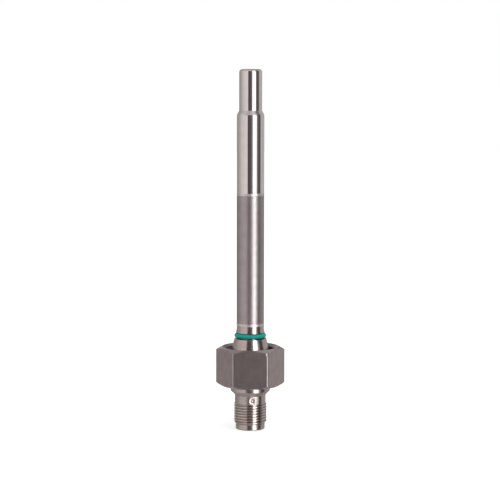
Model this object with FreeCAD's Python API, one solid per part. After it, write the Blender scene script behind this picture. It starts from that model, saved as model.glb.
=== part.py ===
import FreeCAD, Part
import math
import os

from FreeCAD import Vector

# Slim flow sensor: probe rod, union nut and round plug connector, all turned about one axis.
# Lengths are in millimetres and angles in degrees. The axis is Z and the probe tip points up.
# Height 0 is the open face of the union nut, where the sensor is screwed to a pipe fitting.

# Probe rod and tip
rod_diameter = 10.0
rod_wall = 1.0
tube_length = 46.72
sleeve_length = 29.47
tip_step = 0.83
step_half_angle = 30.0
step_rounding = 0.6
step_edge_rounding = 2.2
tip_length = 15.03
tip_edge_rounding = 1.1
tip_wall = 0.6
tip_end_wall = 0.8

# Weld beads at both ends of the tube
tip_bead_width = 1.0
seat_bead_width = 1.0
bead_bulge = 0.05
register_length = 3.0
register_clearance = 0.02
register_edge_rounding = 0.25

# Sealing cone, its groove and the O-ring
cone_half_angle = 14.2
cone_lip_length = 1.25
cone_shoulder_length = 5.13
neck_length = 1.38
groove_depth = 0.71
groove_edge_rounding = 0.12
ring_section = 1.6
ring_squeeze = 0.05
ring_gap_below = 0.3
ring_gap_above = 0.2

# Collar at the foot of the cone, which the nut pulls on, and the barrel below it
collar_rim = 0.52
collar_width = 1.3
collar_land = 0.6
nut_travel = 7.5

# Union nut: the collar clearance gives an M18 thread on a 10 mm rod
collar_clearance = 0.52
nut_thread_pitch = 1.5
nut_entry_angle = 30.0
nut_face_land = 0.15
nut_wall = 2.0
nut_height = 14.38
nut_lip = 3.2
nut_hole_clearance = 0.3
nut_gap = 0.3
nut_chamfer_angle = 26.5
nut_face_inset = 0.6
nut_corner_trim = 0.11
nut_hole_chamfer = 0.4

# Plug connector housing
flange_overlap = 0.58
flange_height = 1.6
flange_edge_rounding = 0.2
shoulder_angle = 45.0
plug_neck_length = 3.0
plug_neck_step = 0.33
plug_neck_rounding = 0.4
plug_thread_diameter = 12.0
plug_thread_length = 7.7
pilot_step = 0.67
pilot_length = 2.05
pilot_edge_rounding = 0.3
punch_angle = 10.0
punch_diameter = 1.6
punch_depth = 0.5
punch_drop = 1.65
spot_diameter = 2.6
spigot_step = 1.37
spigot_length = 2.0
housing_web = 0.95
socket_wall = 1.75
socket_depth = 8.0
socket_edge_chamfer = 0.25

# Contact insert, gasket and contacts
carrier_clearance = 0.03
gasket_thickness = 0.8
key_width = 1.2
key_height = 0.65
key_length = 4.5
contact_count = 4
contact_diameter = 1.0
contact_circle_diameter = 5.4
contact_setback = 1.0
cup_wall = 0.2
cup_length = 3.0
cup_depth = 2.0
cup_clearance = 0.15

# Lead wires and resin plug
wire_diameter = 1.0
conductor_diameter = 0.5
wire_circle_diameter = 3.2
wire_bore_clearance = 0.6
wire_bend_angle = 18.0
wire_straight_length = 1.5
potting_length = 8.0

# Element strip, chips and filling in the tip
strip_width = 4.6
strip_thickness = 0.8
strip_length = 36.0
strip_end_gap = 2.0
pad_length = 3.0
chip_width = 1.6
chip_height = 3.2
chip_thickness = 0.55
heater_distance = 3.5
reference_distance = 15.0
filling_length = 22.0

# Basic depth of an internal metric thread for a pitch of one
THREAD_DEPTH_FACTOR = 1.0825
FULL_TURN = 360.0
FLAT_COUNT = 6
# Largest share of a side that a rounded corner may use
ROUNDING_SHARE = 0.45

# Radii of the turned pieces
rod_radius = rod_diameter / 2
rod_bore_radius = rod_radius - rod_wall
tip_radius = rod_radius - tip_step
tip_bore_radius = tip_radius - tip_wall
register_radius = rod_bore_radius - register_clearance
groove_radius = rod_radius - groove_depth
groove_width = ring_gap_below + ring_section + ring_gap_above
cone_length = cone_shoulder_length + groove_width + cone_lip_length
cone_base_radius = rod_radius + cone_length * math.tan(math.radians(cone_half_angle))
collar_radius = cone_base_radius + collar_rim
barrel_radius = collar_radius - collar_width
spigot_radius = barrel_radius - spigot_step

nut_bore_radius = collar_radius + collar_clearance
nut_thread_radius = nut_bore_radius + THREAD_DEPTH_FACTOR * nut_thread_pitch / 2
nut_flat_radius = nut_thread_radius + nut_wall
nut_corner_radius = nut_flat_radius / math.cos(math.radians(FULL_TURN / FLAT_COUNT / 2))
nut_hole_radius = barrel_radius + nut_hole_clearance

flange_radius = nut_hole_radius + flange_overlap
plug_thread_radius = plug_thread_diameter / 2
plug_neck_radius = plug_thread_radius - plug_neck_step
pilot_radius = plug_thread_radius - pilot_step
socket_radius = plug_thread_radius - socket_wall
carrier_radius = socket_radius - carrier_clearance

contact_radius = contact_diameter / 2
contact_circle_radius = contact_circle_diameter / 2
cup_bore_radius = conductor_diameter / 2
cup_radius = cup_bore_radius + cup_wall
wire_radius = wire_diameter / 2
wire_circle_radius = wire_circle_diameter / 2
cup_room_radius = contact_circle_radius + max(cup_radius, wire_radius) + cup_clearance
wire_bore_radius = wire_circle_radius + wire_radius + wire_bore_clearance

# Heights of the union nut and of the seat body, from the nut's seat upwards
nut_seat_bottom = -nut_height + nut_lip
collar_seat_bottom = nut_seat_bottom + nut_travel + barrel_radius - nut_hole_radius
collar_land_bottom = collar_seat_bottom + collar_width
cone_bottom = collar_land_bottom + collar_land
groove_bottom = cone_bottom + cone_shoulder_length
groove_top = groove_bottom + groove_width
cone_top = cone_bottom + cone_length
seat_bead_bottom = cone_top + neck_length
tube_bottom = seat_bead_bottom + seat_bead_width
tube_top = tube_bottom + tube_length
tip_bead_top = tube_top + tip_bead_width
step_bottom = tube_top + sleeve_length
step_top = step_bottom + tip_step / math.tan(math.radians(step_half_angle))
tip_end = step_top + tip_length
tip_bore_end = tip_end - tip_end_wall

# Heights of the plug connector, from the nut's lower face downwards
flange_top = -nut_height - nut_gap
flange_bottom = flange_top - flange_height
shoulder_bottom = flange_bottom - (flange_radius - plug_neck_radius) / math.tan(math.radians(shoulder_angle))
plug_thread_top = shoulder_bottom - plug_neck_length
plug_thread_bottom = plug_thread_top - plug_thread_length
connector_end = plug_thread_bottom - pilot_length
spigot_bottom = flange_top - spigot_length
web_bottom = spigot_bottom - housing_web
carrier_top = web_bottom - gasket_thickness
carrier_bottom = connector_end + socket_depth

# Heights of the wiring and the elements
cup_top = carrier_top + cup_length
lower_bend_start = cup_top + wire_straight_length
strip_top = tip_bore_end - strip_end_gap
strip_bottom = strip_top - strip_length
conductor_top = strip_bottom + pad_length
wire_top = strip_bottom
upper_bend_end = wire_top - wire_straight_length
filling_bottom = tip_bore_end - filling_length


def rounded_outline(corners):
    """Closed wire in the XZ plane. A corner is (radius, height) or (radius, height, rounding)."""
    points = [Vector(corner[0], 0, corner[1]) for corner in corners]
    roundings = [corner[2] if len(corner) > 2 else 0.0 for corner in corners]
    entries, exits, arcs = [], [], []
    for index, point in enumerate(points):
        back = points[index - 1] - point
        ahead = points[(index + 1) % len(points)] - point
        half_angle = back.getAngle(ahead) / 2
        reach = ROUNDING_SHARE * min(back.Length, ahead.Length)
        trim = min(roundings[index] / math.tan(half_angle), reach)
        entry = point + back.normalize() * trim
        leave = point + ahead.normalize() * trim
        entries.append(entry)
        exits.append(leave)
        arcs.append(corner_arc(point, entry, leave, trim, half_angle) if trim > 0 else None)
    edges = []
    for index, arc in enumerate(arcs):
        if arc:
            edges.append(arc)
        edges.append(Part.LineSegment(exits[index], entries[(index + 1) % len(points)]).toShape())
    return Part.Wire(edges)


def corner_arc(point, entry, leave, trim, half_angle):
    """Arc that rounds one corner between the points where it leaves the two sides."""
    radius = trim * math.tan(half_angle)
    inward = (entry + leave) * 0.5 - point
    inward.normalize()
    middle = point + inward * (radius / math.sin(half_angle) - radius)
    return Part.Arc(entry, middle, leave).toShape()


def turned(corners):
    """Solid turned about the Z axis from the corners of its half section."""
    face = Part.Face(rounded_outline(corners))
    return face.revolve(Vector(0, 0, 0), Vector(0, 0, 1), FULL_TURN)


def cylinder(radius, bottom, top, x=0.0, y=0.0):
    """Plain upright cylinder between two heights."""
    return Part.makeCylinder(radius, top - bottom, Vector(x, y, bottom))


def on_circle(radius, index, offset_angle=0.0):
    """X and Y of one of the evenly spaced contact positions on a circle."""
    angle = math.radians(index * FULL_TURN / contact_count + offset_angle)
    return radius * math.cos(angle), radius * math.sin(angle)


def crowned_ring(radius, bottom, top, crown):
    """Ring round a cylinder, with an outer face that is one arc, crown high at its middle."""
    low = Vector(radius, 0, bottom)
    high = Vector(radius, 0, top)
    outside = Vector(radius + crown, 0, (bottom + top) / 2)
    section = Part.Wire([Part.Arc(low, outside, high).toShape(), Part.LineSegment(high, low).toShape()])
    return Part.Face(section).revolve(Vector(0, 0, 0), Vector(0, 0, 1), FULL_TURN)


def sensor_tip():
    """Closed polished sleeve that steps down to the thin tip, with a spigot for the tube."""
    sleeve = turned([
        (0, tip_end),
        (0, tip_bore_end),
        (tip_bore_radius, tip_bore_end, tip_edge_rounding),
        (tip_bore_radius, tube_top - register_length),
        (register_radius, tube_top - register_length, register_edge_rounding),
        (register_radius, tube_top),
        (rod_radius, tube_top),
        (rod_radius, step_bottom, step_edge_rounding),
        (tip_radius, step_top, step_rounding),
        (tip_radius, tip_end, tip_edge_rounding),
    ])
    bead = crowned_ring(rod_radius, tube_top, tip_bead_top, bead_bulge)
    return sleeve.fuse(bead).removeSplitter()


def extension_tube():
    """Plain ground tube between the tip sleeve and the seat body."""
    return turned([
        (rod_bore_radius, tube_bottom),
        (rod_radius, tube_bottom),
        (rod_radius, tube_top),
        (rod_bore_radius, tube_top),
    ])


def cone_radius(height):
    """Radius of the sealing cone at a height."""
    return rod_radius + (cone_top - height) * math.tan(math.radians(cone_half_angle))


def seat_body():
    """Turned body: plug spigot, barrel, collar, sealing cone with groove, neck and tube spigot."""
    bore_taper = cup_room_radius - wire_bore_radius
    body = turned([
        (cup_room_radius, spigot_bottom),
        (spigot_radius - register_clearance, spigot_bottom, register_edge_rounding),
        (spigot_radius - register_clearance, flange_top),
        (barrel_radius, flange_top),
        (barrel_radius, collar_seat_bottom),
        (collar_radius, collar_land_bottom),
        (collar_radius, cone_bottom, groove_edge_rounding),
        (cone_base_radius, cone_bottom),
        (cone_radius(groove_bottom), groove_bottom, groove_edge_rounding),
        (groove_radius, groove_bottom, groove_edge_rounding),
        (groove_radius, groove_top, groove_edge_rounding),
        (cone_radius(groove_top), groove_top, groove_edge_rounding),
        (rod_radius, cone_top, step_rounding),
        (rod_radius, tube_bottom),
        (register_radius, tube_bottom),
        (register_radius, tube_bottom + register_length, register_edge_rounding),
        (wire_bore_radius, tube_bottom + register_length),
        (wire_bore_radius, collar_seat_bottom),
        (cup_room_radius, collar_seat_bottom - bore_taper),
    ])
    bead = crowned_ring(rod_radius, seat_bead_bottom, tube_bottom, bead_bulge)
    return body.fuse(bead).removeSplitter()


def sealing_ring():
    """O-ring, flattened where it hugs the floor of its groove."""
    section_radius = ring_section / 2
    middle = groove_bottom + ring_gap_below + section_radius
    flat_half = math.sqrt(section_radius ** 2 - (section_radius - ring_squeeze) ** 2)
    return crowned_ring(groove_radius, middle - flat_half, middle + flat_half, ring_section - ring_squeeze)


def hexagon_prism():
    """Hexagon bar of the nut, with one flat towards negative Y."""
    corners = []
    for index in range(FLAT_COUNT + 1):
        angle = math.radians(index * FULL_TURN / FLAT_COUNT)
        x = nut_corner_radius * math.cos(angle)
        y = nut_corner_radius * math.sin(angle)
        corners.append(Vector(x, y, -nut_height))
    return Part.Face(Part.makePolygon(corners)).extrude(Vector(0, 0, nut_height))


def union_nut():
    """Hexagon nut with chamfered faces, countersunk thread bore, tapered seat and a hole for the barrel."""
    face_radius = nut_flat_radius - nut_face_inset
    blank_radius = nut_corner_radius - nut_corner_trim
    entry_radius = face_radius - nut_face_land
    drop = (blank_radius - face_radius) * math.tan(math.radians(nut_chamfer_angle))
    entry_depth = (entry_radius - nut_bore_radius) * math.tan(math.radians(nut_entry_angle))
    seat_top = nut_seat_bottom + nut_bore_radius - nut_hole_radius
    blank = turned([
        (nut_hole_radius, -nut_height + nut_hole_chamfer),
        (nut_hole_radius + nut_hole_chamfer, -nut_height),
        (face_radius, -nut_height),
        (blank_radius, -nut_height + drop),
        (blank_radius, -drop),
        (face_radius, 0),
        (entry_radius, 0),
        (nut_bore_radius, -entry_depth),
        (nut_bore_radius, seat_top),
        (nut_hole_radius, nut_seat_bottom),
    ])
    return blank.common(hexagon_prism())


def punch_mark():
    """Flat spot on the plug's neck with a ball-shaped staking mark at its middle."""
    angle = math.radians(punch_angle)
    outward = Vector(math.sin(angle), -math.cos(angle), 0)
    level = Vector(0, 0, shoulder_bottom - punch_drop)
    spot_radius = spot_diameter / 2
    spot_distance = math.sqrt(plug_neck_radius ** 2 - spot_radius ** 2)
    spot = Part.makeCylinder(spot_radius, plug_neck_radius, level + outward * spot_distance, outward)
    ball_radius = (punch_diameter ** 2 / 4 + punch_depth ** 2) / (2 * punch_depth)
    ball = Part.makeSphere(ball_radius, level + outward * (spot_distance + ball_radius - punch_depth))
    return spot.fuse(ball)


def connector_housing():
    """Flange, shoulder, neck, threaded sleeve and pilot, bored for the contact insert."""
    housing = turned([
        (socket_radius, web_bottom),
        (socket_radius, connector_end + socket_edge_chamfer),
        (socket_radius + socket_edge_chamfer, connector_end),
        (pilot_radius, connector_end, pilot_edge_rounding),
        (pilot_radius, plug_thread_bottom),
        (plug_thread_radius, plug_thread_bottom + pilot_step),
        (plug_thread_radius, plug_thread_top - plug_neck_step),
        (plug_neck_radius, plug_thread_top),
        (plug_neck_radius, shoulder_bottom, plug_neck_rounding),
        (flange_radius, flange_bottom, flange_edge_rounding),
        (flange_radius, flange_top, flange_edge_rounding),
        (spigot_radius, flange_top),
        (spigot_radius, spigot_bottom),
        (cup_room_radius, spigot_bottom),
        (cup_room_radius, web_bottom),
    ])
    return housing.cut(punch_mark())


def key_rib():
    """Key on the wall of the socket, halfway between two contacts."""
    key_bottom = carrier_bottom - key_length
    corner = Vector(carrier_radius - key_height, -key_width / 2, key_bottom)
    rib = Part.makeBox(2 * key_height, key_width, key_length, corner)
    rib = rib.common(cylinder(carrier_radius, key_bottom, carrier_bottom))
    rib.rotate(Vector(0, 0, 0), Vector(0, 0, 1), -FULL_TURN / contact_count / 2)
    return rib


def contact_carrier():
    """Moulded insert that holds the contacts, with its key."""
    carrier = cylinder(carrier_radius, carrier_bottom, carrier_top)
    for index in range(contact_count):
        x, y = on_circle(contact_circle_radius, index)
        carrier = carrier.cut(cylinder(contact_radius, carrier_bottom, carrier_top, x, y))
    return carrier.fuse(key_rib()).removeSplitter()


def carrier_gasket():
    """Flat ring that seals the insert against the web of the housing."""
    return turned([
        (cup_room_radius, carrier_top),
        (carrier_radius, carrier_top),
        (carrier_radius, web_bottom),
        (cup_room_radius, web_bottom),
    ])


def contact_pin(index):
    """Round contact with a domed end below and a solder cup above."""
    tip = connector_end + contact_setback
    pin = turned([
        (0, tip),
        (contact_radius, tip, contact_radius),
        (contact_radius, carrier_top),
        (cup_radius, carrier_top),
        (cup_radius, cup_top),
        (cup_bore_radius, cup_top),
        (cup_bore_radius, cup_top - cup_depth),
        (0, cup_top - cup_depth),
    ])
    x, y = on_circle(contact_circle_radius, index)
    pin.translate(Vector(x, y, 0))
    return pin


def double_bend(start, direction, offset, rising):
    """Two tangent arcs that shift an upright wire sideways, from the start height upwards or downwards."""
    angle = math.radians(wire_bend_angle)
    radius = offset / (2 * (1 - math.cos(angle)))
    sign = 1 if rising else -1

    def at(side, height):
        return start + direction * side + Vector(0, 0, sign * height)

    half_side = radius * (1 - math.cos(angle / 2))
    half_height = radius * math.sin(angle / 2)
    full_height = radius * math.sin(angle)
    middle = at(offset / 2, full_height)
    end = at(offset, 2 * full_height)
    first = Part.Arc(start, at(half_side, half_height), middle)
    second = Part.Arc(middle, at(offset - half_side, 2 * full_height - half_height), end)
    return [first.toShape(), second.toShape()], end


def wire_run(index):
    """Centre line of one lead, from its solder cup through the rod to its pad on the strip."""
    cup_x, cup_y = on_circle(contact_circle_radius, index)
    run_x, run_y = on_circle(wire_circle_radius, index, FULL_TURN / contact_count / 2)
    pad_y = math.copysign(strip_thickness / 2 + conductor_diameter / 2, run_y)
    lower_start = Vector(cup_x, cup_y, lower_bend_start)
    inward = Vector(run_x - cup_x, run_y - cup_y, 0)
    upper_end = Vector(run_x, pad_y, upper_bend_end)
    outward = Vector(0, run_y - pad_y, 0)
    lower_offset = inward.Length
    upper_offset = outward.Length
    lower, run_start = double_bend(lower_start, inward.normalize(), lower_offset, True)
    upper, run_end = double_bend(upper_end, outward.normalize(), upper_offset, False)
    first = Part.LineSegment(Vector(cup_x, cup_y, cup_top), lower_start).toShape()
    long_run = Part.LineSegment(run_start, run_end).toShape()
    last = Part.LineSegment(upper_end, Vector(run_x, pad_y, wire_top)).toShape()
    return Part.Wire([first, *lower, long_run, *upper[::-1], last])


def lead_wire(index):
    """Insulated lead with bare ends in the solder cup and on the strip's pad."""
    run = wire_run(index)
    start = run.Vertexes[0].Point
    end = run.Vertexes[-1].Point
    ring = Part.Wire(Part.makeCircle(wire_radius, start))
    insulation = run.makePipeShell([ring], True, False)
    lower_end = cylinder(conductor_diameter / 2, cup_top - cup_depth, cup_top, start.x, start.y)
    upper_end = cylinder(conductor_diameter / 2, wire_top, conductor_top, end.x, end.y)
    return insulation.fuse([lower_end, upper_end]).removeSplitter()


def element_carrier():
    """Thin strip along the axis of the tip."""
    corner = Vector(-strip_width / 2, -strip_thickness / 2, strip_bottom)
    return Part.makeBox(strip_width, strip_thickness, strip_length, corner)


def chip(side, distance):
    """Chip on one face of the strip, at a distance from the strip's upper end."""
    low_y = strip_thickness / 2 if side > 0 else -strip_thickness / 2 - chip_thickness
    corner = Vector(-chip_width / 2, low_y, strip_top - distance - chip_height / 2)
    return Part.makeBox(chip_width, chip_thickness, chip_height, corner)


def tip_filler(inner_pieces):
    """Filling of the tip round the strip and its chips."""
    filling = turned([
        (0, filling_bottom),
        (tip_bore_radius, filling_bottom),
        (tip_bore_radius, tip_bore_end, tip_edge_rounding),
        (0, tip_bore_end),
    ])
    return filling.cut(inner_pieces)


def potting_plug(inner_pieces):
    """Resin over the insert, round the solder cups and the first stretch of the leads."""
    plug = cylinder(cup_room_radius, carrier_top, carrier_top + potting_length)
    return plug.cut(inner_pieces)


def build():
    """All pieces of the sensor by name."""
    pieces = {
        "sensor_tip": sensor_tip(),
        "extension_tube": extension_tube(),
        "seat_body": seat_body(),
        "sealing_ring": sealing_ring(),
        "union_nut": union_nut(),
        "connector_housing": connector_housing(),
        "contact_carrier": contact_carrier(),
        "carrier_gasket": carrier_gasket(),
        "element_carrier": element_carrier(),
        "heating_element": chip(-1, heater_distance),
        "measuring_element": chip(1, heater_distance),
        "reference_element": chip(-1, reference_distance),
    }
    elements = [pieces[f"{name}_element"] for name in ("heating", "measuring", "reference")]
    wiring = []
    for index in range(contact_count):
        pin = contact_pin(index)
        wire = lead_wire(index)
        pieces[f"contact_pin_{index + 1}"] = pin
        pieces[f"lead_wire_{index + 1}"] = wire
        wiring += [pin, wire]
    pieces["tip_filler"] = tip_filler([pieces["element_carrier"], *elements, *wiring])
    pieces["potting_plug"] = potting_plug(wiring)
    return pieces


os.makedirs("parts", exist_ok=True)
for name, shape in build().items():
    shape.exportStep(f"parts/{name}.step")
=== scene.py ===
import math

import bmesh
import bpy
from mathutils import Matrix, Vector


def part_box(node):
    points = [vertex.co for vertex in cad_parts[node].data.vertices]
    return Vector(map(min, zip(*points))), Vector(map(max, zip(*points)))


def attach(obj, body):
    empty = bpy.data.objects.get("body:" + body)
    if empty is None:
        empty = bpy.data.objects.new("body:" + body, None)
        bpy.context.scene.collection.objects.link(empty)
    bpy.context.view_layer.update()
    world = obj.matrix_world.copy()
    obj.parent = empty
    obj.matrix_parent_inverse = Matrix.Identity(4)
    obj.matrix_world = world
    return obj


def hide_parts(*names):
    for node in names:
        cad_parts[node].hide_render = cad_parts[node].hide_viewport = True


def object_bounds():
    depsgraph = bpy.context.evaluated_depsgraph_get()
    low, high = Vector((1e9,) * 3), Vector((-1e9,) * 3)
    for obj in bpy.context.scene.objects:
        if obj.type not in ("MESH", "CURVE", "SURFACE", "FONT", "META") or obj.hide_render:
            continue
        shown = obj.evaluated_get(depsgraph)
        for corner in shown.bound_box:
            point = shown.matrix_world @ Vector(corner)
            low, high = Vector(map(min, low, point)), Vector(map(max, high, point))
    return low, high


# Looks of a slim flow sensor: polished tip, ground tube, green O-ring, union nut and plug connector.
# Sizes are in millimetres in the frame's axes. Z is the axis and the camera stands on the -Y side.

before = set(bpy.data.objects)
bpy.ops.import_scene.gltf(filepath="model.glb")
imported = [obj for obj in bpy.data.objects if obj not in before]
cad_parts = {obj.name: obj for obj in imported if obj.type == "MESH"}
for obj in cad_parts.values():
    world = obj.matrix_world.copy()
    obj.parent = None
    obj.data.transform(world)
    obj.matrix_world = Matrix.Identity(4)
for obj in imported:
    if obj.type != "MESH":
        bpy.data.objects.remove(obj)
CAD_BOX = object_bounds()
MM = 0.001


def node_box(name):
    """Lowest and highest corner of a CAD node in millimetres."""
    low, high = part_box(name)
    return low / MM, high / MM


# Sizes read from the frame
tube_low, tube_high = node_box("extension_tube")
tip_low, tip_high = node_box("sensor_tip")
seat_low, seat_high = node_box("seat_body")
ring_low, ring_high = node_box("sealing_ring")
nut_low, nut_high = node_box("union_nut")
plug_low, plug_high = node_box("connector_housing")
rod_radius = tube_high.x

# Tip and tube
tube_bore_radius = 4.0
tube_edge_rounding = 0.1
tip_radius = 4.17
tip_length = 15.03
tip_bore_radius = 3.57
tip_end_wall = 0.8
tip_edge_rounding = 1.1
step_half_angle = math.radians(30)
step_rounding = 0.6
step_edge_rounding = 2.2
register_clearance = 0.02
register_rounding = 0.25
tip_bead_width = 1.0
seat_bead_width = 1.0
bead_bulge = 0.05
bead_ripple = 0.006
bead_ripple_count = 40
bead_ripple_lag = 2.0

# Seat body with cone and groove, from the tube downwards
neck_length = 1.38
cone_half_angle = math.radians(14.2)
cone_lip_length = 1.25
cone_shoulder_length = 5.13
groove_width = 2.1
groove_radius = 4.29
groove_rounding = 0.12
collar_land = 0.6
collar_width = 1.3
spigot_length = 2.0
spigot_step = 1.37
cup_room_radius = 3.35
wire_bore_radius = 2.7

# Union nut
nut_sides = 6
nut_chamfer_angle = math.radians(26.5)
nut_face_inset = 0.6
nut_bore_clearance = 0.52
nut_thread_pitch = 1.5
nut_thread_depth = 0.812
nut_entry_angle = math.radians(30)
nut_face_land = 0.15
nut_hole_clearance = 0.3
nut_hole_chamfer = 0.4
nut_lip = 3.2
nick_direction = math.radians(-60)
nick_depth = 0.14
nick_length = 1.6

# Plug connector, from its lower end upwards
pilot_length = 2.05
pilot_radius = 5.33
pilot_rounding = 0.3
plug_thread_radius = 6.0
plug_thread_length = 7.7
plug_thread_pitch = 1.0
plug_thread_depth = 0.5
plug_thread_runout = 0.3
plug_neck_radius = 5.67
plug_neck_length = 3.0
plug_neck_rounding = 0.4
flange_rounding = 0.2
flange_height = 1.6
socket_radius = 4.25
socket_chamfer = 0.25
housing_web = 0.95
punch_direction = math.radians(-80)
punch_drop = 1.65
punch_radius = 0.8
punch_depth = 0.5
spot_radius = 1.3
satin_half_angle = math.radians(23)

# Form of both threads, as shares of the pitch
THREAD_FLAT = 0.12
HALF_PITCH = 0.5

# Values that follow from these
cone_length = cone_lip_length + groove_width + cone_shoulder_length
cone_base_radius = rod_radius + cone_length * math.tan(cone_half_angle)
barrel_radius = seat_high.x - collar_width
spigot_radius = barrel_radius - spigot_step
nut_hole_radius = barrel_radius + nut_hole_clearance
nut_bore_radius = seat_high.x + nut_bore_clearance
nut_face_radius = nut_high.y - nut_face_inset
nut_side_angle = math.tau / nut_sides
nut_land_angle = nut_side_angle / 2 - math.acos(nut_high.y / nut_high.x)
nut_flat_lean = math.sin(nut_chamfer_angle / 2)
nut_entry_radius = nut_face_radius - nut_face_land
nick_distance = nut_high.x - nick_depth
nick_half_angle = 2 * nut_land_angle
nick_bottom = nut_high.z - (nut_high.x - nut_face_radius) * math.tan(nut_chamfer_angle) - nick_length
spot_distance = math.sqrt(plug_neck_radius ** 2 - spot_radius ** 2)

# Mesh density
ARC_STEPS = 5
ARC_SHARE = 0.45
CROWN_STEPS = 20
GUARD = 0.03
GUARDED_LENGTH = 0.12
ROUND_COLUMNS = 256
NUT_FLAT_COLUMNS = 36
SPOT_COLUMNS = 80
SPOT_MARGIN = math.radians(2)
SPOT_DEPTH_LIMIT = 0.0075
THREAD_ROWS_PER_PITCH = 20
NECK_ROW_STEP = 0.1
AXIS_LIMIT = 1e-6

# Material slots of the pieces with several finishes
WELD_SLOT = 1
END_SLOT = 2
PLUG_PLAIN, PLUG_THREAD, PLUG_ROUGH, PLUG_PUNCHED, PLUG_SATIN = range(5)
NUT_FLAT, NUT_TURNED, NUT_ENTRY, NUT_BORE_SHADE, NUT_EDGE = range(5)


def corner_points(here, back, ahead, rounding):
    """Points of one corner of an outline, an arc where the corner is rounded."""
    if rounding == 0.0:
        return [here]
    half = back.angle(ahead) / 2
    trim = min(rounding / math.tan(half), ARC_SHARE * min(back.length, ahead.length))
    entry = here + back.normalized() * trim
    leave = here + ahead.normalized() * trim
    middle = here + (back.normalized() + ahead.normalized()).normalized() * trim / math.cos(half)
    start = entry - middle
    turn = start.angle_signed(leave - middle)
    steps = range(ARC_STEPS + 1)
    return [middle + Matrix.Rotation(-turn * step / ARC_STEPS, 2) @ start for step in steps]


def guarded(points, closed=True):
    """The same outline, with extra points close to the ends of each long side."""
    result = []
    for index, point in enumerate(points):
        result.append(point)
        side = points[(index + 1) % len(points)] - point
        last = index + 1 == len(points)
        if side.length > GUARDED_LENGTH and (closed or not last):
            inset = side.normalized() * GUARD
            result += [point + inset, point + side - inset]
    return result


def outline(corners):
    """Closed half section. A corner is (radius, height) or (radius, height, rounding)."""
    points = []
    for index, corner in enumerate(corners):
        here = Vector(corner[:2])
        back = Vector(corners[index - 1][:2]) - here
        ahead = Vector(corners[(index + 1) % len(corners)][:2]) - here
        points += corner_points(here, back, ahead, corner[2] if len(corner) > 2 else 0.0)
    return guarded(points)


def crown(radius, bottom, top, height):
    """Points of an arc that bulges outwards by a height between two levels of a cylinder."""
    half = (top - bottom) / 2
    arc_radius = (half * half + height * height) / (2 * height)
    reach = math.asin(min(1.0, half / arc_radius))
    if height > half:
        reach = math.pi - reach
    angles = [reach * (2 * step / CROWN_STEPS - 1) for step in range(CROWN_STEPS + 1)]
    centre = radius + height - arc_radius
    middle = (bottom + top) / 2
    return [(centre + arc_radius * math.cos(a), middle + arc_radius * math.sin(a)) for a in angles]


def full_turn(count):
    """Evenly spaced angles of one turn."""
    return [math.tau * index / count for index in range(count)]


def turned_mesh(name, section_at, angles):
    """Closed mesh about Z. section_at gives the points of the half section at an angle."""
    bm = bmesh.new()
    poles = {}
    columns = []
    for angle in angles:
        column = []
        for row, (radius, height) in enumerate(section_at(angle)):
            if radius > AXIS_LIMIT:
                place = (radius * math.cos(angle), radius * math.sin(angle), height)
                column.append(bm.verts.new(Vector(place) * MM))
            else:
                if row not in poles:
                    poles[row] = bm.verts.new((0, 0, height * MM))
                column.append(poles[row])
        columns.append(column)
    for index, column in enumerate(columns):
        following = columns[(index + 1) % len(columns)]
        for row in range(len(column)):
            other = (row + 1) % len(column)
            ring = [column[row], following[row], following[other], column[other]]
            corners = list(dict.fromkeys(ring))
            if len(corners) > 2:
                bm.faces.new(corners)
    bmesh.ops.recalc_face_normals(bm, faces=bm.faces)
    mesh = bpy.data.meshes.new(name)
    bm.to_mesh(mesh)
    bm.free()
    mesh.shade_smooth()
    return mesh


def add_piece(mesh, node, body, slot, *materials):
    """Puts a mesh in the scene in place of a CAD node."""
    piece = bpy.data.objects.new(mesh.name, mesh)
    bpy.context.scene.collection.objects.link(piece)
    for material in materials:
        mesh.materials.append(material)
    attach(piece, body)
    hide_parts(node)
    return piece


def rippled(points, bottom, top):
    """Half section of a piece with a weld bead, whose scales run round between two levels."""
    middle = (bottom + top) / 2
    half = (top - bottom) / 2

    def section_at(angle):
        section = []
        for radius, height in points:
            offset = (height - middle) / half
            if abs(offset) < 1 and radius > rod_radius:
                wave = math.sin(bead_ripple_count * angle + bead_ripple_lag * offset * offset)
                radius += bead_ripple * wave * (1 - offset * offset)
            section.append((radius, height))
        return section

    return section_at


def tip_section():
    """Half section of the stepped tip with its weld bead and its spigot."""
    step_top = tip_high.z - tip_length
    step_bottom = step_top - (rod_radius - tip_radius) / math.tan(step_half_angle)
    register_radius = tube_bore_radius - register_clearance
    bead_top = tube_high.z + tip_bead_width
    points = outline([
        (0, tip_high.z),
        (0, tip_high.z - tip_end_wall),
        (tip_bore_radius, tip_high.z - tip_end_wall, tip_edge_rounding),
        (tip_bore_radius, tip_low.z),
        (register_radius, tip_low.z, register_rounding),
        (register_radius, tube_high.z),
        *crown(rod_radius, tube_high.z, bead_top, bead_bulge),
        (rod_radius, step_bottom, step_edge_rounding),
        (tip_radius, step_top, step_rounding),
        (tip_radius, tip_high.z, tip_edge_rounding),
    ])
    return rippled(points, tube_high.z, bead_top)


def tube_section():
    """Half section of the ground tube, with broken edges at the joints."""
    points = outline([
        (tube_bore_radius, tube_low.z),
        (rod_radius, tube_low.z, tube_edge_rounding),
        (rod_radius, tube_high.z, tube_edge_rounding),
        (tube_bore_radius, tube_high.z),
    ])
    return lambda angle: points


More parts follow.
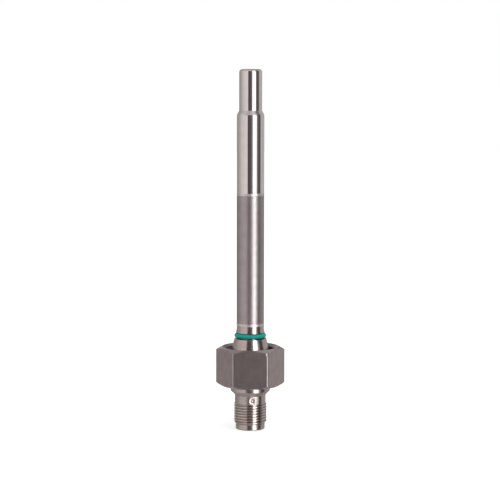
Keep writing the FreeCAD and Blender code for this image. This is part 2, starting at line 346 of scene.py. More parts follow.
def seat_section():
    """Half section of the seat body: spigots, collar, barrel, sealing cone with groove, neck and bead."""
    bead_bottom = tube_low.z - seat_bead_width
    cone_top = bead_bottom - neck_length
    groove_top = cone_top - cone_lip_length
    groove_bottom = groove_top - groove_width
    cone_bottom = groove_bottom - cone_shoulder_length
    slope = math.tan(cone_half_angle)
    land_bottom = cone_bottom - collar_land
    collar_bottom = land_bottom - collar_width
    plug_register = spigot_radius - register_clearance
    register_radius = tube_bore_radius - register_clearance
    points = outline([
        (cup_room_radius, seat_low.z),
        (plug_register, seat_low.z, register_rounding),
        (plug_register, plug_high.z),
        (barrel_radius, plug_high.z),
        (barrel_radius, collar_bottom),
        (seat_high.x, land_bottom),
        (seat_high.x, cone_bottom, groove_rounding),
        (cone_base_radius, cone_bottom),
        (rod_radius + (cone_top - groove_bottom) * slope, groove_bottom, groove_rounding),
        (groove_radius, groove_bottom, groove_rounding),
        (groove_radius, groove_top, groove_rounding),
        (rod_radius + (cone_top - groove_top) * slope, groove_top, groove_rounding),
        (rod_radius, cone_top, step_rounding),
        *crown(rod_radius, bead_bottom, tube_low.z, bead_bulge),
        (register_radius, tube_low.z),
        (register_radius, seat_high.z, register_rounding),
        (wire_bore_radius, seat_high.z),
        (wire_bore_radius, collar_bottom),
        (cup_room_radius, collar_bottom - cup_room_radius + wire_bore_radius),
    ])
    return rippled(points, bead_bottom, tube_low.z)


def ring_section():
    """Half section of the O-ring, flat where it hugs its groove."""
    middle = (ring_low.z + ring_high.z) / 2
    section_radius = (ring_high.z - ring_low.z) / 2
    centre = ring_high.x - section_radius
    flat_half = math.sqrt(section_radius ** 2 - (centre - groove_radius) ** 2)
    arc = crown(groove_radius, middle - flat_half, middle + flat_half, ring_high.x - groove_radius)
    points = guarded([Vector(point) for point in arc])
    return lambda angle: points


def thread_share(turns):
    """Depth of a thread, from 0 on the crest to 1 in the root, at a number of turns from a crest."""
    distance = abs(turns - round(turns))
    flank = HALF_PITCH - 2 * THREAD_FLAT
    return min(1.0, max(0.0, (distance - THREAD_FLAT) / flank))


def nut_columns():
    """Angles of the nut's columns, close together beside its corners, which shade as rounded ones."""
    guard = GUARD / nut_high.x
    land = nut_land_angle
    angles = []
    flat = nut_side_angle - 2 * land
    for corner in full_turn(nut_sides):
        angles += [corner - land - guard, corner - land, corner, corner + land, corner + land + guard]
        angles += [corner + land + flat * step / NUT_FLAT_COLUMNS for step in range(1, NUT_FLAT_COLUMNS)]
    return angles


def nut_bore_points(angle):
    """Points up the nut's threaded bore, from its seat to the countersink at its mouth."""
    bottom = nut_low.z + nut_lip + nut_bore_radius - nut_hole_radius
    slope = math.tan(nut_entry_angle)
    thread_radius = nut_bore_radius + nut_thread_depth
    top = nut_high.z - (nut_entry_radius - thread_radius) * slope
    count = round((top - bottom) / nut_thread_pitch * THREAD_ROWS_PER_PITCH)
    points = []
    for row in range(count + 1):
        height = bottom + (top - bottom) * row / count
        turns = height / nut_thread_pitch - angle / math.tau
        fade = min(1.0, (height - bottom) / nut_thread_pitch)
        thread = nut_bore_radius + nut_thread_depth * fade * (1 - thread_share(turns))
        points.append(Vector((max(thread, thread_radius - (top - height) / slope), height)))
    return points


def turn_from(direction, angle):
    """Turn from a direction to an angle, at most half a turn either way."""
    return (angle - direction + math.pi) % math.tau - math.pi


def nicked_radius(angle, outer):
    """Radius of the nut's upper edge, where one corner is worn flat."""
    turn = turn_from(nick_direction, angle)
    return min(outer, nick_distance / math.cos(turn)) if abs(turn) < nut_side_angle / 2 else outer


def nut_section(angle):
    """Half section of the union nut at an angle: hexagon, turned chamfers, thread, seat and hole."""
    across = angle % nut_side_angle - nut_side_angle / 2
    outer = min(nut_high.x, nut_high.y / math.cos(across))
    worn = nicked_radius(angle, outer)
    slope = math.tan(nut_chamfer_angle)
    drop = (outer - nut_face_radius) * slope
    bore = nut_bore_points(angle)
    body = [
        tuple(bore[-1]),
        (nut_entry_radius, nut_high.z),
        (nut_face_radius, nut_high.z),
        (worn, nut_high.z - (worn - nut_face_radius) * slope),
        (outer, nut_high.z - drop - nick_length),
        (outer, nut_low.z + drop),
        (nut_face_radius, nut_low.z),
        (nut_hole_radius + nut_hole_chamfer, nut_low.z),
        (nut_hole_radius, nut_low.z + nut_hole_chamfer),
        (nut_hole_radius, nut_low.z + nut_lip),
        tuple(bore[0]),
    ]
    return guarded([Vector(point) for point in body], closed=False) + bore[1:-1]


def plug_heights():
    """Lower and upper end of the plug's thread and the lower end of its flange's shoulder."""
    thread_bottom = plug_low.z + pilot_length
    thread_top = thread_bottom + plug_thread_length
    return thread_bottom, thread_top, thread_top + plug_neck_length


def plug_thread_rows():
    """Points up the plain form of the plug's thread and neck, close enough for thread and punch mark."""
    bottom, top, _ = plug_heights()
    count = round(plug_thread_length / plug_thread_pitch * THREAD_ROWS_PER_PITCH)
    rows = []
    for row in range(count + 1):
        height = bottom + plug_thread_length * row / count
        radius = min(plug_thread_radius, pilot_radius + height - bottom, plug_neck_radius + top - height)
        rows.append((radius, height))
    neck_rows = int((plug_neck_length - plug_neck_rounding) / NECK_ROW_STEP)
    rows += [(plug_neck_radius, top + NECK_ROW_STEP * row) for row in range(1, neck_rows)]
    return rows


def plug_thread_radius_at(angle, height):
    """Radius of the plug's thread, which runs out into the neck."""
    bottom, top, _ = plug_heights()
    turns = (height - bottom) / plug_thread_pitch - angle / math.tau
    fade = min(1.0, max(0.0, (top - height) / plug_thread_runout))
    return plug_thread_radius - plug_thread_depth * fade * thread_share(turns)


def punched_radius_at(angle, height):
    """Radius of the neck at its flat spot and in the punch mark at the middle of the spot."""
    _, _, neck_top = plug_heights()
    turn = turn_from(punch_direction, angle)
    if abs(turn) > math.pi / 2:
        return plug_thread_radius
    distance = math.hypot(plug_neck_radius * math.sin(turn), height - neck_top + punch_drop)
    if distance > spot_radius:
        return plug_thread_radius
    plane = spot_distance
    ball = (punch_radius ** 2 + punch_depth ** 2) / (2 * punch_depth)
    if distance < punch_radius:
        plane -= math.sqrt(ball ** 2 - distance ** 2) - ball + punch_depth
    return plane / math.cos(turn)


def plug_columns():
    """Angles of the plug's columns, close together at the punch mark."""
    fine_half = math.asin(spot_radius / plug_neck_radius) + SPOT_MARGIN
    shares = [2 * step / SPOT_COLUMNS - 1 for step in range(SPOT_COLUMNS + 1)]
    fine = [punch_direction + fine_half * share for share in shares]
    start = punch_direction + fine_half
    rest = math.tau - 2 * fine_half
    coarse_count = int(ROUND_COLUMNS * rest / math.tau)
    return fine + [start + rest * step / coarse_count for step in range(1, coarse_count)]


def plug_section():
    """Half section of the plug's housing, with its thread and its punch mark."""
    bottom, top, neck_top = plug_heights()
    flange_bottom = plug_high.z - flange_height
    web_bottom = plug_high.z - spigot_length - housing_web
    points = outline([
        (socket_radius, web_bottom),
        (socket_radius, plug_low.z + socket_chamfer),
        (socket_radius + socket_chamfer, plug_low.z),
        (pilot_radius, plug_low.z, pilot_rounding),
        *plug_thread_rows(),
        (plug_neck_radius, neck_top, plug_neck_rounding),
        (plug_high.x, flange_bottom, flange_rounding),
        (plug_high.x, plug_high.z, flange_rounding),
        (spigot_radius, plug_high.z),
        (spigot_radius, plug_high.z - spigot_length),
        (cup_room_radius, plug_high.z - spigot_length),
        (cup_room_radius, web_bottom),
    ])

    def section_at(angle):
        section = []
        for radius, height in points:
            if radius > pilot_radius and bottom < height < top:
                radius = min(radius, plug_thread_radius_at(angle, height))
            if radius > spot_distance and top < height < neck_top:
                radius = min(radius, punched_radius_at(angle, height))
            section.append((radius, height))
        return section

    return section_at


# Finishes: number of marks per metre along each axis, and spread of the noise values
RING_LINES = (150, 150, 12000)
AXIAL_LINES = (9000, 9000, 120)
WELD_LINES = (2500, 2500, 2500)
CLOUDS = (400, 400, 400)
CLOUD_DETAIL = 3.0
LINE_DETAIL = 2.0
GRAINS_PER_CLOUD = 4
NOISE_LOW = 0.3
NOISE_HIGH = 0.7
# Share of the plug thread's colour left in its roots: painted shade in the grooves
ROOT_SHADE = 0.66
PLUG_DARK = (0.39, 0.345, 0.33)
PLUG_LIGHT = (0.445, 0.40, 0.385)
LEAD_ROUGHNESS = (0.35, 0.5)
LEAD_GRAIN = 4000
LEAD_RELIEF = 0.003
WHITE = (1, 1, 1)


def new_material(name):
    """Node material with its principled shader."""
    material = bpy.data.materials.new(name)
    material.use_nodes = True
    return material, material.node_tree, material.node_tree.nodes["Principled BSDF"]


def scaled_noise(tree, scale, detail=CLOUD_DETAIL):
    """Noise in object space, with its own number of bumps per metre along each axis."""
    place = tree.nodes.new("ShaderNodeTexCoord")
    mapping = tree.nodes.new("ShaderNodeMapping")
    mapping.inputs["Scale"].default_value = scale
    noise = tree.nodes.new("ShaderNodeTexNoise")
    noise.inputs["Scale"].default_value = 1.0
    noise.inputs["Detail"].default_value = detail
    tree.links.new(place.outputs["Object"], mapping.inputs["Vector"])
    tree.links.new(mapping.outputs["Vector"], noise.inputs["Vector"])
    return noise.outputs["Fac"]


def ranged(tree, value, low, high):
    """A noise value spread over a range of numbers."""
    node = tree.nodes.new("ShaderNodeMapRange")
    node.inputs["From Min"].default_value = NOISE_LOW
    node.inputs["From Max"].default_value = NOISE_HIGH
    node.inputs["To Min"].default_value = low
    node.inputs["To Max"].default_value = high
    tree.links.new(value, node.inputs["Value"])
    return node.outputs["Result"]


def between(tree, factor, low, high):
    """Colour between two colours."""
    node = tree.nodes.new("ShaderNodeMix")
    node.data_type = "RGBA"
    node.inputs["A"].default_value = (*low, 1)
    node.inputs["B"].default_value = (*high, 1)
    tree.links.new(factor, node.inputs["Factor"])
    return node.outputs["Result"]


def bumped(tree, shader, value, depth):
    """Relief of a depth in millimetres."""
    node = tree.nodes.new("ShaderNodeBump")
    node.inputs["Distance"].default_value = depth * MM
    tree.links.new(value, node.inputs["Height"])
    tree.links.new(node.outputs["Normal"], shader.inputs["Normal"])


def steel(name, low, high, roughness, lines, line_depth, anisotropy=0.0, rotation=0.0, rim=1.0):
    """Stainless steel with tool lines. lines gives their number per metre along each axis."""
    material, tree, shader = new_material(name)
    clouds = scaled_noise(tree, CLOUDS)
    marks = scaled_noise(tree, lines, LINE_DETAIL)
    shader.inputs["Metallic"].default_value = 1.0
    shader.inputs["Anisotropic"].default_value = anisotropy
    shader.inputs["Anisotropic Rotation"].default_value = rotation
    shader.inputs["Specular Tint"].default_value = (rim, rim, rim, 1)
    tree.links.new(between(tree, ranged(tree, clouds, 0, 1), low, high), shader.inputs["Base Color"])
    tree.links.new(ranged(tree, marks, roughness[0], roughness[1]), shader.inputs["Roughness"])
    bumped(tree, shader, marks, line_depth)
    if anisotropy:
        tangent = tree.nodes.new("ShaderNodeTangent")
        tangent.direction_type = "RADIAL"
        tangent.axis = "Z"
        tree.links.new(tangent.outputs["Tangent"], shader.inputs["Tangent"])
    return material


def dull(name, low, high, roughness, grain, depth, gloss=0.5):
    """Rubber, plastic, resin or laminate with a fine grain."""
    material, tree, shader = new_material(name)
    shader.inputs["Specular IOR Level"].default_value = gloss
    clouds = scaled_noise(tree, (grain / GRAINS_PER_CLOUD,) * 3)
    fine = scaled_noise(tree, (grain,) * 3)
    tree.links.new(between(tree, ranged(tree, clouds, 0, 1), low, high), shader.inputs["Base Color"])
    tree.links.new(ranged(tree, fine, roughness[0], roughness[1]), shader.inputs["Roughness"])
    bumped(tree, shader, fine, depth)
    return material


def paint_root_shade(material):
    """Paints shade into the plug thread's grooves, darker by their distance from the axis."""
    tree = material.node_tree
    colour = tree.nodes["Principled BSDF"].inputs["Base Color"]
    place = tree.nodes.new("ShaderNodeTexCoord")
    across = tree.nodes.new("ShaderNodeVectorMath")
    across.operation = "MULTIPLY"
    across.inputs[1].default_value = (1, 1, 0)
    radius = tree.nodes.new("ShaderNodeVectorMath")
    radius.operation = "LENGTH"
    shade = tree.nodes.new("ShaderNodeMapRange")
    shade.inputs["From Min"].default_value = (plug_thread_radius - plug_thread_depth) * MM
    shade.inputs["From Max"].default_value = plug_thread_radius * MM
    shade.inputs["To Min"].default_value = ROOT_SHADE
    darker = tree.nodes.new("ShaderNodeVectorMath")
    darker.operation = "SCALE"
    tree.links.new(place.outputs["Object"], across.inputs[0])
    tree.links.new(across.outputs["Vector"], radius.inputs[0])
    tree.links.new(radius.outputs["Value"], shade.inputs["Value"])
    tree.links.new(colour.links[0].from_socket, darker.inputs[0])
    tree.links.new(shade.outputs["Result"], darker.inputs["Scale"])
    tree.links.new(darker.outputs["Vector"], colour)


polished_steel = steel(
    "polished_steel", low=(0.62, 0.58, 0.57), high=(0.67, 0.63, 0.62),
    roughness=(0.045, 0.075), lines=RING_LINES, line_depth=0.00004,
)
# The tip's end face: a rough finish, whose darker colour is painted shade that keeps the face grey under
# the bright lights above.
end_steel_shaded = steel(
    "end_steel_shaded", low=(0.33, 0.305, 0.30), high=(0.38, 0.355, 0.35),
    roughness=(0.62, 0.70), lines=WELD_LINES, line_depth=0.0008, rim=0.5,
)
ground_steel = steel(
    "ground_steel", low=(0.37, 0.325, 0.333), high=(0.415, 0.37, 0.378),
    roughness=(0.38, 0.46), lines=RING_LINES, line_depth=0.0006, anisotropy=0.35, rotation=0.25, rim=0.8,
)
turned_steel = steel(
    "turned_steel", low=(0.44, 0.37, 0.36), high=(0.505, 0.43, 0.415),
    roughness=(0.13, 0.20), lines=RING_LINES, line_depth=0.0003,
)
weld_steel = steel(
    "weld_steel", low=(0.58, 0.54, 0.54), high=(0.68, 0.64, 0.64),
    roughness=(0.38, 0.48), lines=WELD_LINES, line_depth=0.003,
)
nut_flats = steel(
    "nut_flats", low=(0.34, 0.285, 0.285), high=(0.395, 0.335, 0.335),
    roughness=(0.28, 0.34), lines=AXIAL_LINES, line_depth=0.0005,
)
nut_edge = steel(
    "nut_edge", low=(0.37, 0.33, 0.33), high=(0.42, 0.375, 0.375),
    roughness=(0.20, 0.26), lines=AXIAL_LINES, line_depth=0.0003,
)
nut_turned = steel(
    "nut_turned", low=(0.43, 0.385, 0.38), high=(0.50, 0.455, 0.445),
    roughness=(0.17, 0.24), lines=RING_LINES, line_depth=0.0005,
)
nut_entry = steel(
    "nut_entry", low=(0.26, 0.235, 0.23), high=(0.31, 0.28, 0.275),
    roughness=(0.15, 0.22), lines=RING_LINES, line_depth=0.0005,
)
# Painted shade: the nut's threaded bore is coloured nearly black to stand in for the shade inside it.
nut_bore_shade = steel(
    "nut_bore_shade", low=(0.10, 0.09, 0.085), high=(0.14, 0.125, 0.12),
    roughness=(0.35, 0.45), lines=RING_LINES, line_depth=0.0005,
)
plug_steel = steel(
    "plug_steel", low=PLUG_DARK, high=PLUG_LIGHT,
    roughness=(0.18, 0.26), lines=RING_LINES, line_depth=0.0004,
)
plug_thread = steel(
    "plug_thread", low=(0.55, 0.48, 0.455), high=(0.63, 0.555, 0.53),
    roughness=(0.10, 0.18), lines=RING_LINES, line_depth=0.0004,
)
# Painted shade in the grooves of the plug's thread
paint_root_shade(plug_thread)
satin_steel = steel(
    "satin_steel", low=PLUG_DARK, high=PLUG_LIGHT,
    roughness=(0.32, 0.40), lines=RING_LINES, line_depth=0.0004,
)
rough_steel = steel(
    "rough_steel", low=(0.57, 0.505, 0.49), high=(0.64, 0.575, 0.56),
    roughness=(0.38, 0.46), lines=WELD_LINES, line_depth=0.002,
)
punched_steel = steel(
    "punched_steel", low=(0.46, 0.42, 0.41), high=(0.52, 0.48, 0.47),
    roughness=(0.08, 0.14), lines=WELD_LINES, line_depth=0.0005,
)
ring_rubber = dull(
    "ring_rubber", low=(0.004, 0.33, 0.262), high=(0.008, 0.415, 0.335),
    roughness=(0.38, 0.55), grain=9000, depth=0.004, gloss=0.1,
)
insert_plastic = dull(
    "insert_plastic", low=(0.012, 0.012, 0.013), high=(0.022, 0.022, 0.024),
    roughness=(0.4, 0.55), grain=12000, depth=0.004,
)
gasket_rubber = dull(
    "gasket_rubber", low=(0.010, 0.010, 0.011), high=(0.020, 0.020, 0.021),
    roughness=(0.6, 0.8), grain=8000, depth=0.006,
)
strip_laminate = dull(
    "strip_laminate", low=(0.42, 0.26, 0.06), high=(0.54, 0.36, 0.11),
    roughness=(0.4, 0.5), grain=6000, depth=0.004,
)
chip_dark = dull(
    "chip_dark", low=(0.02, 0.02, 0.022), high=(0.03, 0.03, 0.034),
    roughness=(0.3, 0.4), grain=8000, depth=0.002,
)
chip_light = dull(
    "chip_light", low=(0.62, 0.60, 0.55), high=(0.74, 0.72, 0.68),
    roughness=(0.35, 0.5), grain=8000, depth=0.002,
)
tip_filling = dull(
    "tip_filling", low=(0.55, 0.55, 0.53), high=(0.66, 0.66, 0.64),
    roughness=(0.6, 0.8), grain=5000, depth=0.01,
)
potting_resin = dull(
    "potting_resin", low=(0.03, 0.025, 0.02), high=(0.05, 0.04, 0.03),
    roughness=(0.2, 0.3), grain=3000, depth=0.004,
)
contact_gold = steel(
    "contact_gold", low=(0.80, 0.55, 0.20), high=(0.88, 0.63, 0.27),
    roughness=(0.14, 0.24), lines=RING_LINES, line_depth=0.0004,
)

LEAD_COLOURS = {
    1: ("lead_brown", (0.09, 0.035, 0.012), (0.13, 0.055, 0.02)),
    2: ("lead_white", (0.66, 0.65, 0.62), (0.76, 0.75, 0.73)),
    3: ("lead_blue", (0.012, 0.05, 0.30), (0.02, 0.08, 0.40)),
    4: ("lead_black", (0.008, 0.008, 0.009), (0.016, 0.016, 0.017)),
}


def dress_nodes():
    """Finishes of the CAD nodes that keep their own form."""
    finishes = {
        "contact_carrier": insert_plastic,
        "carrier_gasket": gasket_rubber,
        "element_carrier": strip_laminate,
        "heating_element": chip_dark,
        "measuring_element": chip_light,
        "reference_element": chip_light,
        "tip_filler": tip_filling,
        "potting_plug": potting_resin,
    }
    for index, (name, low, high) in LEAD_COLOURS.items():
        finishes[f"lead_wire_{index}"] = dull(name, low, high, LEAD_ROUGHNESS, LEAD_GRAIN, LEAD_RELIEF)
        finishes[f"contact_pin_{index}"] = contact_gold
    for node, material in finishes.items():
        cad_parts[node].material_slots[0].material = material


def show_weld(mesh, bottom, top):
    """Gives the weld bead between two levels of a piece its own finish."""
    for polygon in mesh.polygons:
        height = polygon.center.z / MM
        outside = Vector(polygon.center[:2]).length > (rod_radius - bead_bulge) * MM
        if outside and bottom < height < top:
            polygon.material_index = WELD_SLOT


def show_end_face(mesh):
    """Gives the flat end of the tip its rougher finish, with a darker colour that is painted shade."""
    for polygon in mesh.polygons:
        if polygon.center.z > (tip_high.z - GUARD) * MM:
            polygon.material_index = END_SLOT


def plug_slot(angle, radius, height):
    """Material slot of a face of the plug. Shoulder and flat spot are rough, the spot's sides satin."""
    bottom, top, neck_top = plug_heights()
    if radius > pilot_radius and bottom < height < top:
        return PLUG_THREAD
    if radius > plug_neck_radius and neck_top < height < plug_high.z - flange_height:
        return PLUG_ROUGH
    if not top < height < neck_top or radius < spot_distance - punch_depth:
        return PLUG_PLAIN
    depth = plug_neck_radius - punched_radius_at(angle, height)
    if depth < SPOT_DEPTH_LIMIT:
        beside_spot = abs(turn_from(punch_direction, angle)) < satin_half_angle
        return PLUG_SATIN if beside_spot else PLUG_PLAIN
    return PLUG_ROUGH if depth <= plug_neck_radius - spot_distance else PLUG_PUNCHED


def nut_slot(angle, radius, height, lean):
    """Material slot of a face of the nut. The flats are drawn, their edges worn and the rest turned, with
    painted shade on the threaded bore.
    """
    if radius > nut_face_radius and lean < nut_flat_lean:
        half_side = nut_side_angle / 2
        from_corner = abs((angle + half_side) % nut_side_angle - half_side)
        nicked = abs(turn_from(nick_direction, angle)) < nick_half_angle and height > nick_bottom
        return NUT_EDGE if from_corner < nut_land_angle or nicked else NUT_FLAT
    if radius > nut_entry_radius or height < nut_low.z + nut_lip:
        return NUT_TURNED
    # The threaded bore takes the painted shade.
    return NUT_ENTRY if radius > nut_bore_radius + nut_thread_depth else NUT_BORE_SHADE


def add_nut():
    """Union nut, with drawn flats, turned chamfers and a thread darkened with painted shade."""
    mesh = turned_mesh("nut_with_thread", nut_section, nut_columns())
    add_piece(mesh, "union_nut", "nut", "nut_steel", nut_flats, nut_turned, nut_entry, nut_bore_shade, nut_edge)
    for polygon in mesh.polygons:
        x, y, height = polygon.center / MM
        lean = abs(polygon.normal.z)
        polygon.material_index = nut_slot(math.atan2(y, x), math.hypot(x, y), height, lean)


def add_plug():
    """Housing of the plug, with a plain pilot and flange, a bright thread and a punched neck."""
    mesh = turned_mesh("threaded_plug", plug_section(), plug_columns())
    finishes = (plug_steel, plug_thread, rough_steel, punched_steel, satin_steel)
    add_piece(mesh, "connector_housing", "sensor", "plug_steel", *finishes)
    for polygon in mesh.polygons:
        x, y, height = polygon.center / MM
        polygon.material_index = plug_slot(math.atan2(y, x), math.hypot(x, y), height)


def add_pieces():
    """The turned pieces that replace their CAD nodes with fine meshes."""
    round_angles = full_turn(ROUND_COLUMNS)
    tip = turned_mesh("stepped_tip", tip_section(), round_angles)
    add_piece(tip, "sensor_tip", "sensor", "polished_steel", polished_steel, weld_steel, end_steel_shaded)
    show_weld(tip, tube_high.z, tube_high.z + tip_bead_width)
    show_end_face(tip)
    tube = turned_mesh("ground_tube", tube_section(), round_angles)
    add_piece(tube, "extension_tube", "sensor", "ground_steel", ground_steel)
    seat = turned_mesh("cone_seat", seat_section(), round_angles)
    add_piece(seat, "seat_body", "sensor", "turned_steel", turned_steel, weld_steel)
    show_weld(seat, tube_low.z - seat_bead_width, tube_low.z)
    ring = turned_mesh("o_ring", ring_section(), round_angles)
    add_piece(ring, "sealing_ring", "sensor", "ring_rubber", ring_rubber)
    add_plug()
    add_nut()


# Studio, with azimuths in degrees
HALF_TURN = 180
CAMERA_DISTANCE = 575.0
CAMERA_HEIGHT = 90.97
CAMERA_SIDE = -0.15
CAMERA_PITCH = math.radians(5.5)
CAMERA_ROLL = math.radians(0.08)
CAMERA_LENS = 113.57
CARD_RADIUS = 700.0
CARD_BOTTOM = -450.0
CARD_TOP = 420.0
WALL_COLUMNS = 96
FOUR_SIDED = [(0, 1, 2, 3)]
FLOOR_REACH = 3000.0
FLOOR_GAP = 0.05
FLOOR_GREY = 0.72
FLOOR_ROUGHNESS = 0.9
FLOOR_LIFT = 0.52
ROOM_LIGHT = 0.8
KEY_SIZE = 500.0
KEY_POWER = 1.5
KEY_PLACE = (450.0, -500.0, 550.0)

# Colour of the studio wall that shows in the steel, by azimuth in degrees from the camera's side
STRIP_LIGHT = 4.8
WALL_COLOURS = [
    (-180, (0.55, 0.53, 0.52)),
    (-165, (0.50, 0.48, 0.47)),
    (-145, (0.36, 0.35, 0.345)),
    (-128, (0.46, 0.445, 0.435)),
    (-116, (0.54, 0.515, 0.505)),
    (-100, (0.58, 0.56, 0.54)),
    (-84, (0.78, 0.74, 0.72)),
    (-60, (0.90, 0.85, 0.84)),
    (-26.5, (1.00, 0.95, 0.96)),
    (-22.5, (0.11, 0.10, 0.10)),
    (-8, (0.11, 0.10, 0.105)),
    (0, (0.14, 0.125, 0.13)),
    (8, (0.19, 0.18, 0.185)),
    (17.5, (0.45, 0.44, 0.45)),
    (21.5, (1.40, 1.40, 1.40)),
    (25, (STRIP_LIGHT, STRIP_LIGHT, STRIP_LIGHT)),
    (43, (STRIP_LIGHT, STRIP_LIGHT, STRIP_LIGHT)),
    (47.5, (1.70, 1.70, 1.70)),
    (51.5, (0.90, 0.89, 0.90)),
    (58, (0.32, 0.31, 0.32)),
    (72, (0.12, 0.11, 0.115)),
    (88, (0.10, 0.09, 0.095)),
    (95, (0.60, 0.59, 0.585)),
    (120, (0.64, 0.625, 0.615)),
    (145, (0.62, 0.61, 0.60)),
    (158, (0.30, 0.29, 0.285)),
    (180, (0.28, 0.27, 0.265)),
]

# Colour of the ceiling in the same way, with the strip's and the dark cards' soft continuations
CEILING_COLOURS = [
    (-180, (0.46, 0.43, 0.42)),
    (-150, (0.44, 0.41, 0.40)),
    (-121, (0.51, 0.48, 0.47)),
    (-96, (0.67, 0.63, 0.62)),
    (-60, (0.74, 0.69, 0.68)),
    (-27, (0.63, 0.58, 0.58)),
    (-12, (0.59, 0.55, 0.55)),
    (10, (0.73, 0.68, 0.68)),
    (35, (0.92, 0.87, 0.87)),
    (47, (0.88, 0.83, 0.83)),
    (60, (0.60, 0.56, 0.56)),
    (71, (0.31, 0.29, 0.29)),
    (82, (0.16, 0.145, 0.15)),
    (92, (0.27, 0.25, 0.25)),
    (104, (0.48, 0.46, 0.45)),
    (120, (0.60, 0.57, 0.56)),
    (140, (0.56, 0.525, 0.515)),
    (158, (0.56, 0.525, 0.515)),
    (180, (0.48, 0.45, 0.44)),
]

# Colour of the ground in the same way
GROUND_COLOURS = [
    (-180, (0.34, 0.32, 0.31)),
    (-121, (0.38, 0.36, 0.35)),
    (-96, (0.56, 0.52, 0.51)),
    (-27, (0.62, 0.57, 0.57)),
    (35, (0.78, 0.73, 0.73)),
    (60, (0.42, 0.39, 0.39)),
    (82, (0.10, 0.09, 0.095)),
    (104, (0.36, 0.34, 0.335)),
    (140, (0.40, 0.38, 0.37)),
    (180, (0.34, 0.32, 0.31)),
]

# Grey card that lightens the dark stripe on the cone and the flange
LOW_CARD = (0.25, 0.225, 0.22)
LOW_CARD_AZIMUTHS = (math.radians(-21), math.radians(9))
LOW_CARD_HEIGHTS = (-153.0, -85.0)
LOW_CARD_RADIUS = 690.0


def glow(name, colour):
    """Material of a studio card that gives off light of one colour."""
    material = bpy.data.materials.new(name)
    material.use_nodes = True
    tree = material.node_tree
    tree.nodes.clear()
    emission = tree.nodes.new("ShaderNodeEmission")
    emission.inputs["Color"].default_value = (*colour, 1)
    output = tree.nodes.new("ShaderNodeOutputMaterial")
    tree.links.new(emission.outputs["Emission"], output.inputs["Surface"])
    return material, tree, emission


def azimuth_glow(name, colours):
    """Material of a studio card whose colour follows the azimuth."""
    material, tree, emission = glow(name, WHITE)
    place = tree.nodes.new("ShaderNodeTexCoord")
    mapping = tree.nodes.new("ShaderNodeMapping")
    mapping.inputs["Rotation"].default_value = (0, 0, math.pi / 2)
    turn = tree.nodes.new("ShaderNodeTexGradient")
    turn.gradient_type = "RADIAL"
    ramp = tree.nodes.new("ShaderNodeValToRGB")
    stops = ramp.color_ramp.elements
    stops.remove(stops[1])
    for index, (azimuth, colour) in enumerate(colours):
        position = (azimuth + HALF_TURN) / (2 * HALF_TURN)
        stop = stops.new(position) if index else stops[0]
        stop.position = position
        stop.color = (*(channel / STRIP_LIGHT for channel in colour), 1)
    emission.inputs["Strength"].default_value = STRIP_LIGHT
    tree.links.new(place.outputs["Object"], mapping.inputs["Vector"])
    tree.links.new(mapping.outputs["Vector"], turn.inputs["Vector"])
    tree.links.new(turn.outputs["Fac"], ramp.inputs["Fac"])
    tree.links.new(ramp.outputs["Color"], emission.inputs["Color"])
    return material


def square(reach, height):
    """Corners of a level square about the axis."""
    signs = ((-1, -1), (1, -1), (1, 1), (-1, 1))
    return [(x * reach, y * reach, height) for x, y in signs]


def low_card_corners():
    """Corners of the upright grey card that stands low on the camera's side of the wall."""
    low, high = LOW_CARD_HEIGHTS
    corners = []
    for azimuth, heights in zip(LOW_CARD_AZIMUTHS, ((low, high), (high, low))):
        x = LOW_CARD_RADIUS * math.sin(azimuth)
        y = -LOW_CARD_RADIUS * math.cos(azimuth)
        corners += [(x, y, height) for height in heights]
    return corners


def stage_object(name, points, faces, material):
    """A floor or card, which isn't part of the sensor."""
    mesh = bpy.data.meshes.new(name)
    mesh.from_pydata([Vector(point) * MM for point in points], [], faces)
    mesh.materials.append(material)
    thing = bpy.data.objects.new(name, mesh)
    bpy.context.scene.collection.objects.link(thing)
    return thing


def seen_in_steel_only(card):
    """Leaves a card to reflections, so that it neither shows nor lights the floor."""
    card.visible_camera = False
    card.visible_diffuse = False
    card.visible_shadow = False
    card.visible_transmission = False


def add_cards():
    """Round studio wall, with a ceiling above it and a ground below."""
    angles = full_turn(WALL_COLUMNS)
    points = []
    for angle in angles:
        x = CARD_RADIUS * math.cos(angle)
        y = CARD_RADIUS * math.sin(angle)
        points += [(x, y, CARD_BOTTOM), (x, y, CARD_TOP)]
    count = len(points)
    faces = [(i, i + 1, (i + 3) % count, (i + 2) % count) for i in range(0, count, 2)]
    wall_material = azimuth_glow("studio_wall", WALL_COLOURS)
    seen_in_steel_only(stage_object("studio_wall", points, faces, wall_material))
    for name, height, colours in (
        ("ceiling", CARD_TOP, CEILING_COLOURS),
        ("ground", CARD_BOTTOM, GROUND_COLOURS),
    ):
        corners = square(CARD_RADIUS, height)
        seen_in_steel_only(stage_object(name, corners, FOUR_SIDED, azimuth_glow(name, colours)))
    low_card_material, _, _ = glow("low_card", LOW_CARD)
    seen_in_steel_only(stage_object("low_card", low_card_corners(), FOUR_SIDED, low_card_material))


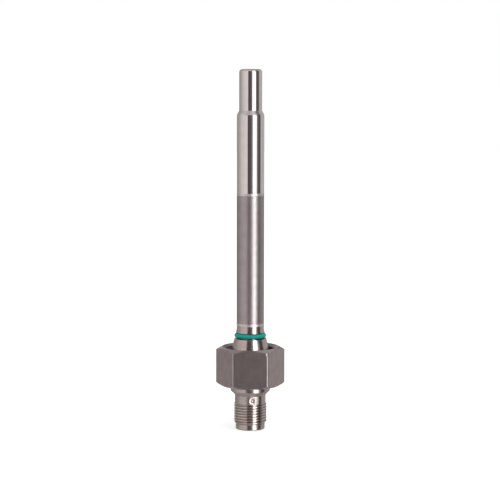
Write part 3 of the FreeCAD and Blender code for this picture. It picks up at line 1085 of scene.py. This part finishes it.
def add_floor():
    """Pale floor under the plug, white to the camera where no shadow falls."""
    material, tree, shader = new_material("floor_white")
    shader.inputs["Base Color"].default_value = (FLOOR_GREY, FLOOR_GREY, FLOOR_GREY, 1)
    shader.inputs["Roughness"].default_value = FLOOR_ROUGHNESS
    shader.inputs["Specular IOR Level"].default_value = 0.0
    shader.inputs["Emission Color"].default_value = (*WHITE, 1)
    light_path = tree.nodes.new("ShaderNodeLightPath")
    lift = tree.nodes.new("ShaderNodeMath")
    lift.operation = "MULTIPLY"
    lift.inputs[1].default_value = FLOOR_LIFT
    tree.links.new(light_path.outputs["Is Camera Ray"], lift.inputs[0])
    tree.links.new(lift.outputs["Value"], shader.inputs["Emission Strength"])
    height = CAD_BOX[0].z / MM - FLOOR_GAP
    floor = stage_object("floor", square(FLOOR_REACH, height), FOUR_SIDED, material)
    floor.visible_glossy = False


def add_world():
    """White room to the camera and in reflections, and a plain soft light on everything."""
    world = bpy.data.worlds.new("studio")
    bpy.context.scene.world = world
    world.use_nodes = True
    tree = world.node_tree
    background = tree.nodes["Background"]
    background.inputs["Color"].default_value = (*WHITE, 1)
    light_path = tree.nodes.new("ShaderNodeLightPath")
    seen = light_path.outputs["Is Camera Ray"]
    for ray in ("Is Glossy Ray", "Is Transmission Ray"):
        either = tree.nodes.new("ShaderNodeMath")
        either.operation = "MAXIMUM"
        tree.links.new(seen, either.inputs[0])
        tree.links.new(light_path.outputs[ray], either.inputs[1])
        seen = either.outputs["Value"]
    level = tree.nodes.new("ShaderNodeMapRange")
    level.inputs["To Min"].default_value = ROOM_LIGHT
    level.inputs["To Max"].default_value = 1.0
    tree.links.new(seen, level.inputs["Value"])
    tree.links.new(level.outputs["Result"], background.inputs["Strength"])


def add_key_light():
    """Large soft lamp from the upper right, in front."""
    lamp = bpy.data.lights.new("key", "AREA")
    lamp.size = KEY_SIZE * MM
    lamp.energy = KEY_POWER
    key = bpy.data.objects.new("key", lamp)
    bpy.context.scene.collection.objects.link(key)
    key.location = Vector(KEY_PLACE) * MM
    key.rotation_euler = (-key.location).to_track_quat("-Z", "Y").to_euler()
    key.visible_glossy = False


def add_camera():
    """Camera at the photograph's place, looking slightly down with no shift."""
    data = bpy.data.cameras.new("camera")
    data.lens = CAMERA_LENS
    camera = bpy.data.objects.new("camera", data)
    bpy.context.scene.collection.objects.link(camera)
    camera.location = Vector((CAMERA_SIDE, -CAMERA_DISTANCE, CAMERA_HEIGHT)) * MM
    tilt = Matrix.Rotation(math.pi / 2 - CAMERA_PITCH, 3, "X")
    camera.rotation_euler = (tilt @ Matrix.Rotation(CAMERA_ROLL, 3, "Z")).to_euler()
    bpy.context.scene.camera = camera


add_pieces()
dress_nodes()
add_cards()
add_floor()
add_world()
add_key_light()
add_camera()
bpy.context.scene.view_settings.view_transform = "Standard"
